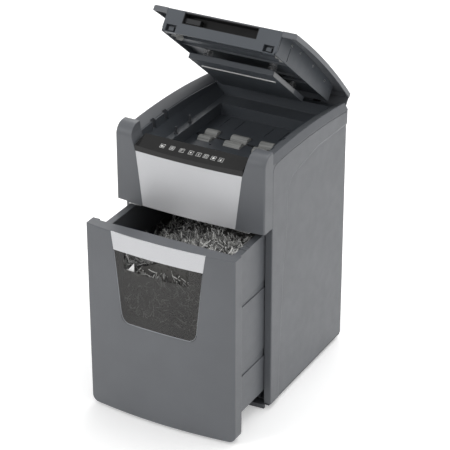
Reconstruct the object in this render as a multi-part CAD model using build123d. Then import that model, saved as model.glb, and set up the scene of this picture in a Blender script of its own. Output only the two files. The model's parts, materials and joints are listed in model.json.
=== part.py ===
from build123d import *
from math import atan2, copysign, cos, degrees, pi, radians, sin, sqrt, tan
import os

# Auto-feed paper shredder: cabinet with a cutter head, a lid over an A4 sheet well and a pull-out bin.
# Millimetres, +Z up, front faces -Y, origin on the floor at the centre of the cabinet footprint.

# ---------------------------------------------------------------- driving dimensions
HALF_W = 184.0            # half width of cabinet, head and drawer front
FRONT_Y, REAR_Y = -181.0, 181.0
PANEL_Z = 13.0            # lower edge of the side panels
SKIN = 3.0                # moulded wall

ARCH_Y, ARCH_R = -80.0, 1858.0        # the top line of the side panels is one shallow arc
SEAM_Z = 614.8                        # its highest point
ARCH_Z = SEAM_Z - ARCH_R
CREST = 16.0                          # rim crest above the arc
SEAM_GAP, SEAM_R = 1.3, 20.0          # shadow gap over the side panels, and their rounded top corner
LID_UNDER, LID_TOP = 24.0, 36.5       # lid wing above the arc
LID_HALF_W = 175.0

HEAD_Z, HEAD_TOP = 463.0, 645.0
HEAD_FRONT, HEAD_BOW = -228.0, 10.0   # front of head at the middle, and how far the ends fall back
FASCIA_TOP = 593.0
PILLAR_EDGE = [(116.0, 463.0), (123.0, 521.0), (131.5, 590.0), (136.0, 605.0), (142.0, 627.0), (145.0, 660.0)]

PANEL_TOP_Y, PANEL_TOP_Z = -185.0, 620.0   # rear edge of the sloping control panel
PANEL_STEP_Y, PANEL_STEP_Z = -222.0, 606.0

LEDGE_Z = 577.0           # ledge around the sheet well
WELL_HALF_W, WELL_Y0, WELL_Y1 = 107.0, -180.0, 114.0
TRAY_FLOOR_Z = 550.0
WALL_X, LEDGE_HALF_W = 149.0, 124.0   # inner faces of the well's upper walls, at the top and at the ledge

FEED_R, FEED_Z, FEED_YR, FEED_YF = 14.0, 543.45, 15.0, -19.0
FEED_SPANS = [(-88.0, -57.0), (-22.0, 20.0), (50.0, 84.0)]
CUT_R, CUT_Z, CUT_YR, CUT_YF = 19.0, 505.0, 14.5, -18.5
CUT_PITCH, CUT_DISCS, CUT_THICK = 8.0, 26, 3.2
PLATE_X, PLATE_T = 112.0, 3.0         # cutter side plates
IDLER_Y, MOTOR_Y = 56.5, 92.5         # reduction gear and motor axes, level with the cutters
MOTOR_R, MOTOR_L = 28.0, 104.0

HINGE_Y, HINGE_Z = 186.0, 586.0
LID_OPEN = 39.2           # degrees the lid stands open at rest
BOX_Z, BOX_REAR = 595.5, 154.0         # underside and rear of the box inside the lid
PRESS_HALF_W, PRESS_Y0, PRESS_Y1, PRESS_Z = 104.0, -90.0, 100.0, 570.0

DRAWER_OUT = 129.0        # how far the drawer stands out at rest
DRAWER_FRONT, DRAWER_BOW = -232.0, 14.0
DRAWER_Z0, DRAWER_Z1 = 6.0, 460.5
DRAWER_BACK, DRAWER_LIP = -189.0, -194.0
BAND_Z = 418.0
WINDOW = [(111.0, 418.0), (95.5, 265.0), (93.0, 241.5)]
HAND_X0, HAND_X1, HAND_Z0 = -84.0, 76.0, 376.0
TUB_HALF_W, TUB_Y0, TUB_Y1, TUB_Z0, TUB_Z1 = 165.0, -207.0, 150.0, 32.0, 444.0
TUB_RIM = 149.0


# ---------------------------------------------------------------- shape helpers
def block(x0, x1, y0, y1, z0, z1):
    return Pos((x0 + x1) / 2, (y0 + y1) / 2, (z0 + z1) / 2) * Box(x1 - x0, y1 - y0, z1 - z0)


def rod_x(r, x0, x1, y, z):
    return Pos((x0 + x1) / 2, y, z) * Rot(0, 90, 0) * Cylinder(r, x1 - x0)


def rod_y(r, y0, y1, x, z):
    return Pos(x, (y0 + y1) / 2, z) * Rot(90, 0, 0) * Cylinder(r, y1 - y0)


def rod_z(r, z0, z1, x, y):
    return Pos(x, y, (z0 + z1) / 2) * Cylinder(r, z1 - z0)


def outline(points, radius=0.0, corners=None):
    """Closed flat face; radius rounds every corner, or only the listed ones."""
    face = make_face(Polyline(*points, close=True))
    if radius:
        picked = face.vertices()
        if corners is not None:
            spots = [Vector(*points[i]) for i in corners]
            picked = [v for v in picked if min((v.center() - s).length for s in spots) < 0.01]
        face = fillet(picked, radius)
    return face


def prism_x(face, x0, x1):
    """Extrudes a face drawn in (y, z) along X."""
    return extrude(Plane.YZ.offset(x0) * face, x1 - x0)


def prism_y(face, y0, y1):
    """Extrudes a face drawn in (x, z) along Y."""
    return extrude(Plane.XZ.offset(-y0) * face, -(y1 - y0))


def prism_z(face, z0, z1):
    """Extrudes a face drawn in (x, y) along Z."""
    return extrude(Plane.XY.offset(z0) * face, z1 - z0)


def both(shape):
    """The shape and its mirror image across the middle plane, as one group."""
    return Compound([shape, shape.mirror(Plane.YZ)])


def group(shapes):
    return Compound(list(shapes))


def under_arch(rise):
    """Everything below the arc that runs over the sides, raised by rise."""
    return rod_x(ARCH_R + rise, -220, 220, ARCH_Y, ARCH_Z)


def arch_height(y, rise=0.0):
    return ARCH_Z + sqrt((ARCH_R + rise) ** 2 - (y - ARCH_Y) ** 2)


def arch_sweep(section, y0, y1):
    """Sweeps a section of (x, rise above the arc) along the arc from y0 to y1."""
    axis = Axis((0, ARCH_Y, ARCH_Z), (-1, 0, 0))
    face = Plane.XZ.offset(-ARCH_Y) * outline([(x, ARCH_Z + ARCH_R + rise) for x, rise in section])
    swept = revolve(face.rotate(axis, -4.2), axis, 14.0)
    return swept & block(-230, 230, y0, y1, 400, 800)


def bow(front, depth, inset=0.0):
    """Upright cylinder whose surface is the bowed front, moved inwards by inset."""
    radius = (HALF_W ** 2 + depth ** 2) / (2 * depth)
    return rod_z(radius - inset, -20, 720, 0, front + radius)


def head_bow(inset=0.0):
    return bow(HEAD_FRONT, HEAD_BOW, inset)


def drawer_bow(inset=0.0):
    return bow(DRAWER_FRONT, DRAWER_BOW, inset)


def symmetric(points):
    """Outline from right-hand points given from top to bottom."""
    return list(points) + [(-x, z) for x, z in reversed(points)]


def at_rest_lid(shape):
    return shape.rotate(Axis((0, HINGE_Y, HINGE_Z), (1, 0, 0)), -LID_OPEN)


def at_rest_drawer(shape):
    return Pos(0, -DRAWER_OUT, 0) * shape


# ---------------------------------------------------------------- gears and cutters
def gear(teeth, module, x0, x1, y, z, phase, bore):
    """Spur gear on an X axis; a tooth points at angle phase (degrees from +Y towards +Z)."""
    pitch_r, base_r = teeth * module / 2, teeth * module / 2 * cos(radians(20))
    tip_r, root_r = pitch_r + 0.74 * module, pitch_r - 1.0 * module
    half_pitch = (pi / 2 - 0.16) / teeth

    def half_angle(r):
        spread = sqrt(max((r / base_r) ** 2 - 1, 0))
        at_pitch = tan(radians(20))
        return half_pitch + (at_pitch - radians(20)) - (spread - atan2(spread, 1))

    start_r = max(base_r, root_r)
    radii = [start_r + (tip_r - start_r) * i / 3 for i in range(4)]
    if start_r > root_r:
        radii = [root_r] + radii
    points = []
    for tooth in range(teeth):
        middle = radians(phase) + 2 * pi * tooth / teeth
        flank = [(r, half_angle(max(r, base_r))) for r in radii]
        for r, half in flank:
            points.append((y + r * cos(middle - half), z + r * sin(middle - half)))
        for r, half in reversed(flank):
            points.append((y + r * cos(middle + half), z + r * sin(middle + half)))
    return prism_x(outline(points), x0, x1) - rod_x(bore, x0 - 1, x1 + 1, y, z)


def toothed_disc(x0, x1, y, z, turn):
    """Cross-cut disc: hooked teeth around the rim."""
    points = []
    for i in range(9):
        start = radians(turn + 40 * i)
        points.append((y + CUT_R * cos(start), z + CUT_R * sin(start)))
        for step in (12, 24, 36):
            at = start + radians(step)
            points.append((y + 17.6 * cos(at), z + 17.6 * sin(at)))
    return prism_x(outline(points), x0, x1)


def cutter(y, shift, x_left, x_right, turn):
    """Shaft with its discs; each disc is turned a little against the last one."""
    body = rod_x(12, -107, 107, y, CUT_Z) + rod_x(7, x_left, x_right, y, CUT_Z)
    for i in range(CUT_DISCS):
        x = (i - (CUT_DISCS - 1) / 2) * CUT_PITCH + shift
        body += toothed_disc(x - CUT_THICK / 2, x + CUT_THICK / 2, y, CUT_Z, turn + 7 * i)
    return body


def cutter_rear():
    return cutter(CUT_YR, -2.0, -118, 137, 0)


def cutter_front():
    return cutter(CUT_YF, 2.0, -124, 126, 11)


def rear_cutter_gears():
    sync = gear(22, 1.5, 117, 125, CUT_YR, CUT_Z, 180, 7)
    final = gear(44, 1.5, 128, 136, CUT_YR, CUT_Z, 0, 7)
    return group([sync, final])


def front_cutter_gears():
    sync = gear(22, 1.5, 117, 125, CUT_YF, CUT_Z, 180 / 22, 7)
    feed = gear(46, 1.0, -122, -117, CUT_YF, CUT_Z, feed_angle(), 7)
    return group([sync, feed])


def feed_angle():
    """Direction from the front cutter axis to the rear feed axis."""
    return degrees(atan2(FEED_Z - CUT_Z, FEED_YR - CUT_YF))


def idler_gear():
    small = gear(12, 1.5, 128, 136, IDLER_Y, CUT_Z, 180 + 180 / 12, 4.05)
    hub = rod_x(8, 136, 140, IDLER_Y, CUT_Z) - rod_x(4.05, 135, 141, IDLER_Y, CUT_Z)
    large = gear(60, 1.0, 140, 146, IDLER_Y, CUT_Z, 0, 4.05)
    return small + hub + large


def motor_rotor():
    pinion = gear(12, 1.0, 139.5, 146.5, MOTOR_Y, CUT_Z, 180 + 180 / 12, 2.5)
    return rod_x(3, 8, 148, MOTOR_Y, CUT_Z) + rod_x(18.5, 20, 92, MOTOR_Y, CUT_Z) + pinion


def motor_can():
    x1 = PLATE_X
    x0 = x1 - MOTOR_L
    can = rod_x(MOTOR_R, x0, x1, MOTOR_Y, CUT_Z)
    can -= rod_x(19, 16, 96, MOTOR_Y, CUT_Z) + rod_x(3.05, 9, x1 + 1, MOTOR_Y, CUT_Z)
    can -= rod_x(3.05, x0 - 1, 17, MOTOR_Y, CUT_Z)
    for turn in range(0, 360, 45):
        slot = Rot(turn, 0, 0) * block(x0 + 6, x0 + 12, -2.5, 2.5, 22, 30)
        can -= Pos(0, MOTOR_Y, CUT_Z) * slot
    return can


def feed_shaft(y):
    return rod_x(3.5, -131, 118, y, FEED_Z)


def rear_feed_shaft():
    """Shaft with the gear driven by the front cutter and the gear that drives the front shaft."""
    big = gear(56, 1.0, -122, -117, FEED_YR, FEED_Z, feed_angle() + 180 + 180 / 56, 3.5)
    return feed_shaft(FEED_YR) + big + gear(34, 1.0, -130, -125, FEED_YR, FEED_Z, 180, 3.5)


def front_feed_shaft():
    return feed_shaft(FEED_YF) + gear(34, 1.0, -130, -125, FEED_YF, FEED_Z, 180 / 34, 3.5)


def feed_rollers(y):
    tubes = [rod_x(FEED_R, a, b, y, FEED_Z) - rod_x(3.5, a - 1, b + 1, y, FEED_Z) for a, b in FEED_SPANS]
    rims = [tube.edges().filter_by(GeomType.CIRCLE).sort_by(SortBy.RADIUS)[-2:] for tube in tubes]
    return group(fillet(rim, 1.2) for rim in rims)


# ---------------------------------------------------------------- cutter frame and head internals
def cutter_plate(side):
    """Side plate that carries the shafts; the right one also carries motor and reduction gear."""
    x0, x1 = (PLATE_X, PLATE_X + PLATE_T) if side > 0 else (-PLATE_X - PLATE_T, -PLATE_X)
    rear = 126 if side > 0 else 50
    face = outline([(-50, 469), (rear, 469), (rear, 536), (40, 536), (40, 562), (-44, 562), (-50, 556)])
    plate = prism_x(face, x0, x1)
    for y in (CUT_YR, CUT_YF):
        plate -= rod_x(10, x0 - 1, x1 + 1, y, CUT_Z)
    for y in (FEED_YR, FEED_YF):
        plate -= rod_x(6, x0 - 1, x1 + 1, y, FEED_Z)
    if side > 0:
        plate -= rod_x(6, x0 - 1, x1 + 1, MOTOR_Y, CUT_Z)
        plate += rod_x(4, x0 + 1, 148, IDLER_Y, CUT_Z) + rod_x(7, 147, 149, IDLER_Y, CUT_Z)
    for y, z in TIE_SPOTS:
        plate -= rod_x(2.6, x0 - 1, x1 + 1, y, z)
    return plate


TIE_SPOTS = [(-44, 477), (-44, 541), (46, 477)]


def cutter_bushes():
    rings = []
    for x0 in (PLATE_X - 1.5, -PLATE_X - PLATE_T - 1.0):
        for y in (CUT_YR, CUT_YF):
            rings.append(rod_x(10, x0, x0 + 5.5, y, CUT_Z) - rod_x(7.05, x0 - 1, x0 + 7, y, CUT_Z))
        for y in (FEED_YR, FEED_YF):
            rings.append(rod_x(6, x0, x0 + 5.5, y, FEED_Z) - rod_x(3.55, x0 - 1, x0 + 7, y, FEED_Z))
    return group(rings)


def tie_bars():
    bars = []
    for y, z in TIE_SPOTS:
        bar = rod_x(5, -PLATE_X, PLATE_X, y, z)
        thread = rod_x(1.6, PLATE_X - 14, PLATE_X + 1, y, z)
        bars.append(bar - thread - thread.mirror(Plane.YZ))
    return group(bars)


def chassis_screws():
    """Every screw of the cabinet: tie bars, head floor, rear panel and feet."""
    screws = []
    for y, z in TIE_SPOTS:
        screw = rod_x(1.6, PLATE_X - 12, PLATE_X + PLATE_T, y, z)
        screw += rod_x(4, PLATE_X + PLATE_T, PLATE_X + PLATE_T + 2, y, z)
        screws += [screw, screw.mirror(Plane.YZ)]
    screws += [rod_z(2.0, 463.5, 475, x, y) + rod_z(4.5, 461.5, 463.5, x, y) for x, y in FLOOR_SCREWS]
    screws += [rod_z(4, 2.5, 5, x, y) + rod_z(2, 5, 16, x, y) for x, y in FEET]
    for x in (-165, 165):
        for z in REAR_SCREW_Z:
            head = rod_y(4, REAR_Y, REAR_Y + 1.8, x, z)
            head -= block(x - 2.6, x + 2.6, REAR_Y + 1, REAR_Y + 2, z - 0.5, z + 0.5)
            screws.append(head + rod_y(2, 168.5, REAR_Y, x, z))
    return group(screws)


REAR_SCREW_Z = (60, 300, 540)


def comb(y, shift, facing):
    """Row of stripper fingers on a bar; one finger beside every disc keeps the gap clean."""
    bar_y = y + facing * 26
    body = block(-107, 107, min(bar_y, bar_y + facing * 4), max(bar_y, bar_y + facing * 4), 484, 500)
    for i in range(CUT_DISCS - 1):
        x = (i - (CUT_DISCS - 2) / 2) * CUT_PITCH + shift
        y0, y1 = sorted((y + facing * 14.5, bar_y))
        body += block(x - 1.4, x + 1.4, y0, y1, 488, 496)
    return body


def stripper_combs():
    return group([comb(CUT_YR, -2.0, 1), comb(CUT_YF, 2.0, -1)])


def head_floor():
    """Plate under the cutters with the chute the strips fall through."""
    plate = block(-166, 166, -178, 150, 466, 469)
    skirt = block(-112, 112, -62, 62, 450, 466)
    floor = plate + skirt - block(-109, 109, -59, 59, 440, 480)
    for x, y in FLOOR_SCREWS:
        inner, outer = sorted((x, copysign(PLATE_X + PLATE_T, x)))
        floor += block(inner - 8 * (x < 0), outer + 8 * (x > 0), y - 10, y + 10, 469, 480)
        floor -= rod_z(2.0, 460, 476, x, y)
    return floor


FLOOR_SCREWS = [(-130, -60), (130, -60), (-130, 60), (130, 60)]


def power_board():
    board = block(-100, -10, 70, 150, 478, 479.6)
    board -= rod_z(1.6, 470, 485, -95, 75) + rod_z(1.6, 470, 485, -15, 145)
    parts = [block(-90, -62, 84, 108, 479.6, 500), block(-50, -34, 78, 94, 479.6, 498),
             rod_z(8, 479.6, 505, -30, 120), rod_z(5, 479.6, 496, -52, 128),
             block(-92, -72, 120, 140, 479.6, 492)]
    for part in parts:
        board += part
    for x, y in ((-97, 147), (-13, 73)):
        board += rod_z(3, 469, 478, x, y)
    return board


def control_board():
    """Touch circuit board hung behind the control panel on two stalks."""
    angle = degrees(atan2(PANEL_TOP_Z - PANEL_STEP_Z, PANEL_TOP_Y - PANEL_STEP_Y))
    board = Box(176, 21, 1.6) + Pos(0, 0, -2.3) * Box(30, 12, 3) + Pos(60, 2, -1.8) * Box(14, 10, 2)
    for x in (-80, 80):
        board += Pos(x, 0, 2.3) * Cylinder(2.5, 3.2)
    return Pos(0, -201.5, 599.5) * Rot(angle, 0, 0) * board


# ---------------------------------------------------------------- cabinet
def emboss_face(grow):
    """Outline of the flat field pressed into the side panels, open to the rear and the bottom."""
    line = [(240, 557 + grow), (33, 564 + grow), (-15, 556 + grow), (-85 - grow * 0.3, 545 + grow)]
    line += [(-104 - grow, 523), (-106 - grow, 426), (-119 - grow, 348), (-137 - grow, 46)]
    return outline(line + [(-140 - grow, -60), (240, -60)], 14, [2, 3, 4, 5, 6])


def corner_fill(gap):
    """Outer skin in front of the rounded top corner of the side panel."""
    r = SEAM_R + gap
    y, z = FRONT_Y + SEAM_R, arch_height(FRONT_Y + SEAM_R, -SEAM_GAP) - SEAM_R
    return block(170, 190, FRONT_Y - 1, y, z, 650) - rod_x(r, 169, 191, y, z)


def side_panel():
    """Right-hand panel: outer skin with a sunk field, and the double-walled front edge."""
    body = (block(177, HALF_W, FRONT_Y, REAR_Y, PANEL_Z, 640) & under_arch(-SEAM_GAP)) - corner_fill(0)
    body = fillet(body.edges().filter_by(Axis.Z).sort_by(Axis.X)[-2:], 2.5)
    field = prism_x(emboss_face(0), 180.6, 190)
    slope = extrude(Plane.YZ.offset(180.6) * emboss_face(0), 4, taper=-66)
    raised = prism_x(outline([(-178, 20), (-144, 20), (-122, 350), (-116, 530), (-95, 556), (40, 572),
                              (174, 566), (174, 585), (20, 605), (-80, 607), (-178, 600)]), 170, 180.8)
    lower = prism_x(outline([(-100, 420), (-104, 300), (-126, 20), (174, 20), (174, 545), (33, 552),
                             (-88, 534)]), 170, 179)
    body = body - field - slope - raised - lower
    return body + block(167, 178, FRONT_Y, FRONT_Y + SKIN, PANEL_Z, HEAD_Z)


def liner():
    """Right-hand inner wall of the bin bay."""
    wall = block(167, 169.5, FRONT_Y + SKIN, 178, 20, 466)
    for y in (-120, -20, 80, 150):
        wall += block(169.5, 177, y - 1.2, y + 1.2, 24, 455)
    return wall


def rear_panel():
    panel = block(-177, 177, 178, REAR_Y, PANEL_Z, 585)
    for row in range(7):
        z = 492 + row * 8
        for x in (-40, 60):
            panel -= block(x - 32, x + 32, 170, 190, z - 1.6, z + 1.6)
    panel -= rod_y(GLAND_R, 170, 190, GLAND_X, GLAND_Z)
    panel -= block(*ROCKER_X, 170, 190, *ROCKER_Z)
    for z in (120, 240, 360):
        panel += block(-150, 150, 176.5, 178, z - 2, z + 2)
    for x in (-120, 120):
        panel += rod_y(9, 152, 178, x, 240) + rod_y(7, 150.5, 152, x, 240)
    post = block(159.5, 166.8, 168, 178, 24, 462) + block(159.5, 170.5, 168, 178, 470, 575)
    panel += post + post.mirror(Plane.YZ)
    for x in (-165, 165):
        for z in REAR_SCREW_Z:
            panel -= rod_y(2.0, 160, 190, x, z)
    return panel


GLAND_X, GLAND_Z, GLAND_R = -140.0, 60.0, 7.0
ROCKER_X, ROCKER_Z = (-153.0, -127.0), (486.0, 504.0)


def cord_gland():
    """Ribbed strain-relief sleeve in the rear panel, with the hole the power lead goes through."""
    sleeve = rod_y(GLAND_R, 174, REAR_Y, GLAND_X, GLAND_Z) + rod_y(10, REAR_Y, REAR_Y + 3, GLAND_X, GLAND_Z)
    sleeve += rod_y(9, 172, 177.9, GLAND_X, GLAND_Z)
    for y in (185.5, 188.0, 190.5):
        sleeve += rod_y(6.2, y - 0.8, y + 0.8, GLAND_X, GLAND_Z)
    sleeve += rod_y(5.2, REAR_Y, 192, GLAND_X, GLAND_Z)
    return sleeve - rod_y(3.6, 165, 200, GLAND_X, GLAND_Z)


def rocker_housing():
    x0, x1 = ROCKER_X
    z0, z1 = ROCKER_Z
    body = block(x0, x1, 166, REAR_Y, z0, z1) + block(x0 - 3, x1 + 3, REAR_Y, REAR_Y + 2, z0 - 3, z1 + 3)
    body -= block(x0 + 2, x1 - 2, 169, 190, z0 + 2, z1 - 2)
    return body - rod_x(1.7, x0 + 0.8, x1 - 0.8, 178, (z0 + z1) / 2)


def power_rocker():
    """Rocker key, pressed at its lower end at rest; it turns about a crosswise pivot."""
    x0, x1 = ROCKER_X
    mid_z = (ROCKER_Z[0] + ROCKER_Z[1]) / 2
    face = outline([(174.5, -5.6), (174.5, 5.6), (184.6, 5.8), (182.2, 0), (184.6, -5.8)])
    key = prism_x(face, x0 + 2.6, x1 - 2.6) + rod_x(1.5, x0 + 1.2, x1 - 1.2, 178, 0)
    key = key.rotate(Axis((0, 178, 0), (1, 0, 0)), 7)
    return Pos(0, 0, mid_z) * key


def base_tray():
    """Floor of the cabinet with a bowed front lip and stiffening ribs."""
    plate = block(-180, 180, FRONT_Y, 178, 9, 12)
    wall = block(-176.8, 176.8, FRONT_Y + 4, 177.8, 12, 20) - block(-174, 174, FRONT_Y + 1, 175, 11, 30)
    lip = block(-170, 170, -196, FRONT_Y, 1.5, 12) & bow(-194, 8)
    tray = plate + wall + lip
    for y in (-100, 0, 100):
        tray += block(-174, 174, y - 1.5, y + 1.5, 12, 18)
    for x, y in FEET:
        tray -= rod_z(2.1, 0, 30, x, y)
    return tray


FEET = [(-160, -160), (160, -160), (-160, 160), (160, 160)]


def feet():
    pads = []
    for x, y in FEET:
        pad = rod_z(11, 0, 9, x, y)
        pad = chamfer(pad.edges().filter_by(GeomType.CIRCLE).sort_by(Axis.Z)[:1], 1.5)
        pads.append(pad - rod_z(4.2, -1, 5, x, y) - rod_z(2.1, 4, 10, x, y))
    return group(pads + [rod_z(14, 0, 9, 0, 0)])


def drawer_rails():
    """Pair of rails the bin slides on, with the guide lips that keep it straight."""
    rail = block(138, 150, -176, 165, 20, 31.8) + block(150, 152, -176, 165, 20, 25)
    rail += block(140, 166.8, -174, 165, 18, 20)
    return both(rail)


def top_frame():
    """Moulded rim, upper walls of the sheet well and the ledge around it."""
    rim = [(HALF_W, 0), (HALF_W, 1.5), (175.5, 15.5), (173.5, CREST), (WALL_X, 5), (WALL_X, 2), (173, 12.6),
           (174, 11), (174, -8), (177, -8), (177, 0)]
    right = arch_sweep(rim, FRONT_Y, REAR_Y)
    foot = LEDGE_HALF_W
    wall = prism_y(outline([(WALL_X, 640), (144.5, 598), (foot, LEDGE_Z), (foot, LEDGE_Z - SKIN),
                            (foot + 3.5, LEDGE_Z - SKIN), (147.5, 597), (WALL_X + SKIN, 640)]), FRONT_Y, 165)
    wall = (wall + block(146, 156, -128, -56, 596, 640) - block(140, 153, -126, -111, 598, 640)
            - block(140, 153, -74, -58, 598, 640)) & under_arch(4)
    skin = (block(178, HALF_W, FRONT_Y, REAR_Y, 540, 650) & under_arch(0.5)) & corner_fill(SEAM_GAP)
    right = right - block(WALL_X - 1, 153, -126, -111, 598, 640) - block(WALL_X - 1, 153, -74, -58, 598, 640)
    right = right + wall + skin
    frame = right + right.mirror(Plane.YZ)
    frame += block(-152, 152, 162, 165, LEDGE_Z - SKIN, 640) & under_arch(4)
    frame += arch_sweep([(-152, 2), (152, 2), (152, 5), (-152, 5)], 162, REAR_Y)
    frame += rear_closure()
    ledge = block(-foot - 1, foot + 1, FRONT_Y, 165, LEDGE_Z - SKIN, LEDGE_Z)
    ledge += block(-foot, foot, PANEL_TOP_Y, FRONT_Y, LEDGE_Z - SKIN, LEDGE_Z + 2)
    ledge -= block(-WELL_HALF_W, WELL_HALF_W, WELL_Y0, WELL_Y1, LEDGE_Z - 5, LEDGE_Z + 1)
    return frame + ledge


def rear_closure():
    """Outer rear wall of the frame, following the rim's outline."""
    z = arch_height(REAR_Y)
    side = [(149, z + 4.6), (173.5, z + 15.6), (175.5, z + 15), (HALF_W, z + 1), (HALF_W, z), (177, z)]
    return prism_y(outline(symmetric(side + [(177, 585)])), 178, REAR_Y)


def paper_tray():
    """A4 well: deep tray whose floor is cut for the feed rollers and the throat to the cutters."""
    y0, y1 = WELL_Y0, WELL_Y1
    outer = block(-WELL_HALF_W - 2.5, WELL_HALF_W + 2.5, y0 - 1, y1 + 2.5, TRAY_FLOOR_Z - 2.4, LEDGE_Z - SKIN)
    tray = outer - block(-WELL_HALF_W, WELL_HALF_W, y0 + 1.5, y1, TRAY_FLOOR_Z, LEDGE_Z)
    flange = block(-116, 116, y0 - 1, y1 + 12, LEDGE_Z - SKIN - 1.3, LEDGE_Z - SKIN)
    tray += flange - block(-109, 109, y0, y1 + 2, 560, 600)
    for a, b in FEED_SPANS:
        tray -= block(a - 2, b + 2, FEED_YF - 13.5, FEED_YF + 13.5, 540, 560)
        tray -= block(a - 2, b + 2, FEED_YR - 13.5, FEED_YR + 16, 540, 560)
    tray -= rod_z(3, 545, 555, -48, -41)
    tray -= block(-106, 106, -6, 2, 540, 560)
    for x in (-76, -38, 38, 76):
        tray += block(x - 1, x + 1, -150, -60, TRAY_FLOOR_Z, TRAY_FLOOR_Z + 1.2)
        tray += block(x - 1, x + 1, 50, 100, TRAY_FLOOR_Z, TRAY_FLOOR_Z + 1.2)
    return tray


def well_pegs():
    """Two small posts on the left ledge that sense the lid."""
    pegs = [rod_z(2.6, LEDGE_Z, LEDGE_Z + h, x, y) + rod_z(4.6, LEDGE_Z, LEDGE_Z + 2, x, y)
            for x, y, h in ((-115.5, -76, 17), (-116, -12, 19))]
    return group([fillet(p.edges().filter_by(GeomType.CIRCLE).sort_by(Axis.Z)[-1:], 1.2) for p in pegs])


# ---------------------------------------------------------------- head front
def head_outer(inset):
    """Block behind the bowed head front with its big rounded top edge, moved inwards by inset."""
    solid = block(-HALF_W + inset, HALF_W - inset, -260, FRONT_Y, HEAD_Z + inset, HEAD_TOP - inset)
    solid = solid & head_bow(inset)
    top_front = solid.edges().group_by(Axis.Z)[-1].sort_by(Axis.Y)[0]
    return fillet([top_front], 28 - inset)


def pillar():
    """Right-hand front pillar: hollow, open to the rear, with its inner edge leaning outwards."""
    edge = PILLAR_EDGE
    keep = prism_y(outline(edge + [(210, 660), (210, 463)]), -280, -100)
    core = prism_y(outline([(x + SKIN, z) for x, z in edge] + [(210, 660), (210, 463)]), -280, -100)
    solid = head_outer(0) & keep
    corners = solid.edges().filter_by(Axis.Z).sort_by(Axis.X)[-2:].sort_by(Axis.Y)[:1]
    solid = fillet(corners, 4)
    return solid - ((head_outer(SKIN) & core) - block(170, 200, -184, -170, 450, 660))


def fascia_panel():
    """Bowed bright panel between the pillars."""
    side = [(x - 0.3, z) for x, z in PILLAR_EDGE[:2]] + [(131.2, 588.0), (131.5, FASCIA_TOP - 0.3)]
    face = outline(symmetric([(x, z) for x, z in reversed(side)]))
    plate = prism_y(face, -280, -100) & head_bow(0.4)
    return plate - head_bow(3.4)


def control_panel():
    """Gloss panel: sloping touch face, rounded front edge and the upright band over the fascia."""
    profile = outline([(PANEL_TOP_Y, LEDGE_Z - 8), (PANEL_TOP_Y, PANEL_TOP_Z),
                       (PANEL_STEP_Y - 5, PANEL_STEP_Z - 1.6), (-240, 600), (-240, FASCIA_TOP),
                       (-214, FASCIA_TOP), (-214, 600), (-188, 612), (-188, LEDGE_Z - 8)])
    body = prism_x(profile, -140, 140) & head_bow(0.2)
    plan = prism_z(outline([(127.5, -184), (133.5, -222), (134.5, -240), (-134.5, -240), (-133.5, -222),
                            (-127.5, -184)]), 500, 700)
    front = [(x - 0.4, z) for x, z in PILLAR_EDGE[2:5]]
    ends = prism_y(outline(symmetric([(144, 660), front[2], front[1], front[0], (front[0][0], 560)])),
                   -280, -100)
    return body & plan & ends


def latch_brackets():
    """Bright spring brackets under the head that catch the drawer."""
    plate = block(118, 150, -224.6, -183, 461.2, 463)
    plate -= rod_z(2.2, 455, 470, 126, -196) + rod_z(2.2, 455, 470, 142, -196)
    return both(plate)


def bin_switch():
    """Sealed proximity switch behind the head floor that senses the closed bin."""
    return block(-150, -134, -176, -150, 461.5, 466) + block(-147, -137, -172, -154, 469, 474)


def hinge_brackets():
    """Fixed hinge knuckles on the back of the frame."""
    knuckles = []
    for x0, x1 in ((84, 89.6), (110.4, 116)):
        knuckle = rod_x(4.5, x0, x1, HINGE_Y, HINGE_Z)
        knuckle += block(x0, x1, REAR_Y, HINGE_Y, HINGE_Z - 14, HINGE_Z + 4.5)
        knuckles.append(knuckle - rod_x(2, x0 - 1, x1 + 1, HINGE_Y, HINGE_Z))
    plate = block(82, 118, REAR_Y, REAR_Y + 2, 566, HINGE_Z - 6)
    bracket = knuckles[0] + knuckles[1] + plate
    return both(bracket)


def hinge_pins():
    return both(rod_x(2, 83, 117, HINGE_Y, HINGE_Z))


# ---------------------------------------------------------------- lid (drawn shut, then turned open)
def lid_shell():
    """Arched lid top with hollow side wings, a front edge set back between them and a rear apron."""
    half = LID_HALF_W
    outer = [(half, LID_UNDER), (half, LID_TOP - 2.5), (half - 3, LID_TOP)]
    shell = arch_sweep(symmetric(list(reversed(outer))), FRONT_Y + 1, REAR_Y + 1)
    top, low = LID_TOP - SKIN, LID_UNDER - 2.5
    hollow = arch_sweep(symmetric([(half - 10, top), (half - SKIN, top - 3), (half - SKIN, low)]),
                        FRONT_Y + 4, REAR_Y - 2)
    notch = block(-140.5, 140.5, FRONT_Y, FRONT_Y + 4.2, 600, 660)
    low, high = arch_height(REAR_Y, LID_UNDER + 1), arch_height(REAR_Y, LID_TOP - 4)
    inner, outer, foot = REAR_Y + 2.2, REAR_Y + 4.6, HINGE_Z + 6.5
    apron = prism_x(outline([(REAR_Y - 1, low), (REAR_Y - 1, high), (outer, high - 2), (outer, foot),
                             (inner, foot), (inner, low)]), -172, 172)
    apron -= both(block(90.5, 109.5, REAR_Y + 1, REAR_Y + 6, 560, low + 1))
    return shell - hollow - notch + apron


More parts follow.
